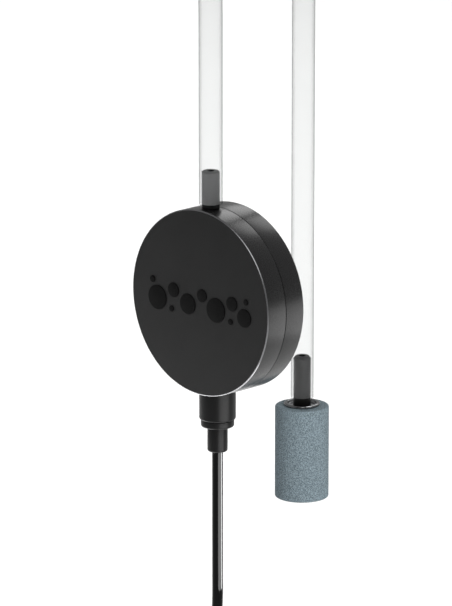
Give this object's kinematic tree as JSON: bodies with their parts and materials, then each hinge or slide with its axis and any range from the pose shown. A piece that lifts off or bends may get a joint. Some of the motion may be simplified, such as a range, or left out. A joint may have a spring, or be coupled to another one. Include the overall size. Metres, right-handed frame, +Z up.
{
  "type": "aquarium air pump",
  "caption": "Round silent air pump that sticks to an aquarium's outside wall, with a clear hose over the rim to a cylindrical air stone and a thin low-voltage lead.",
  "frame": {"origin": "centre of the mounting pad's face on the tank's glass, on the round casing's axis", "axes": "+Y into the glass, so the casing's face looks along -Y; +Z up, towards the hose nipple; +X to the right of someone facing the pump"},
  "size_m": [0.048, 0.0652, 0.246],
  "materials": {
    "casing": "fine moulded satin, charcoal",
    "fitting": "moulded satin plastic, dark grey",
    "cord_sheath": "glossy black cable sheath",
    "clear_hose": "clear soft PVC",
    "stone": "sintered blue-grey grit, matt",
    "dark_metal": "dark nickel, polished",
    "steel": "zinc plated",
    "brass": "rolled sheet",
    "piezo": "silvered lead zirconate",
    "rubber": "matt black",
    "silicone": "translucent silicone",
    "nylon": "natural nylon",
    "circuit_board": "green solder mask on glass laminate",
    "chip": "black moulding compound",
    "capacitor": "tan ceramic",
    "felt": "pressed felt",
    "hook_tape": "woven hook-and-loop tape",
    "red_wire": "wire insulation",
    "black_wire": "wire insulation",
    "gold": "gold plated"
  },
  "bodies": {
    "wall": {"wall_pad": "hook_tape"},
    "pump": {"pump_pad": "hook_tape", "rear_cover": "casing", "front_cover": "casing", "housing_seal": "rubber", "cover_screw_1": "steel", "cover_screw_2": "steel", "cover_screw_3": "steel", "cover_screw_4": "steel", "inlet_filter": "felt", "valve_body": "nylon", "outlet_nipple": "fitting", "nipple_seal": "rubber", "valve_plate": "nylon", "chamber_gasket": "rubber", "rear_gasket": "rubber", "clamp_ring": "nylon", "clamp_screw_1": "steel", "clamp_screw_2": "steel", "clamp_screw_3": "steel", "circuit_board": "circuit_board", "driver_chip": "chip", "boost_inductor": "chip", "capacitor_1": "capacitor", "capacitor_2": "capacitor", "piezo_lead_1": "red_wire", "piezo_lead_2": "black_wire", "power_wire_1": "red_wire", "power_wire_2": "black_wire", "cable_boss": "fitting", "gland_collar": "fitting", "strain_relief": "fitting", "cord_crimp": "steel", "power_cord": "cord_sheath", "cord_coil": "cord_sheath", "cord_tail": "cord_sheath", "cord_tie": "rubber", "plug_relief": "cord_sheath", "plug_body": "cord_sheath", "plug_shell": "steel", "plug_tongue": "nylon", "plug_contact_1": "gold", "plug_contact_2": "gold", "plug_contact_3": "gold", "plug_contact_4": "gold"},
    "diaphragm": {"diaphragm_disc": "brass", "piezo_ceramic": "piezo", "solder_dot_1": "steel", "solder_dot_2": "steel"},
    "inlet_valve": {"inlet_flap": "silicone"},
    "outlet_valve": {"outlet_flap": "silicone"},
    "air_line": {"air_hose": "clear_hose"},
    "stone": {"stone_nipple": "fitting", "stone_collar": "dark_metal", "air_stone": "stone"}
  },
  "joints": [
    {"name": "pump_peel", "type": "slide", "parent": "wall", "child": "pump", "axis": [0, -1, 0], "range_m": [0, 0.015]},
    {"name": "diaphragm_stroke", "type": "slide", "parent": "pump", "child": "diaphragm", "axis": [0, 1, 0], "range_m": [-0.00015, 0.00015], "stiffness_N_per_m": 200},
    {"name": "inlet_flap_hinge", "type": "hinge", "parent": "pump", "child": "inlet_valve", "pos_m": [-0.005, -0.01095, 0.0027], "axis": [1, 0, 0], "range_deg": [0, 10]},
    {"name": "outlet_flap_hinge", "type": "hinge", "parent": "pump", "child": "outlet_valve", "pos_m": [0.005, -0.01155, 0.0027], "axis": [-1, 0, 0], "range_deg": [0, 12]},
    {"name": "hose_pull", "type": "slide", "parent": "pump", "child": "air_line", "axis": [0, 0, 1], "range_m": [0, 0.01]},
    {"name": "stone_pull", "type": "slide", "parent": "air_line", "child": "stone", "axis": [0, 0, -1], "range_m": [0, 0.013]}
  ]
}
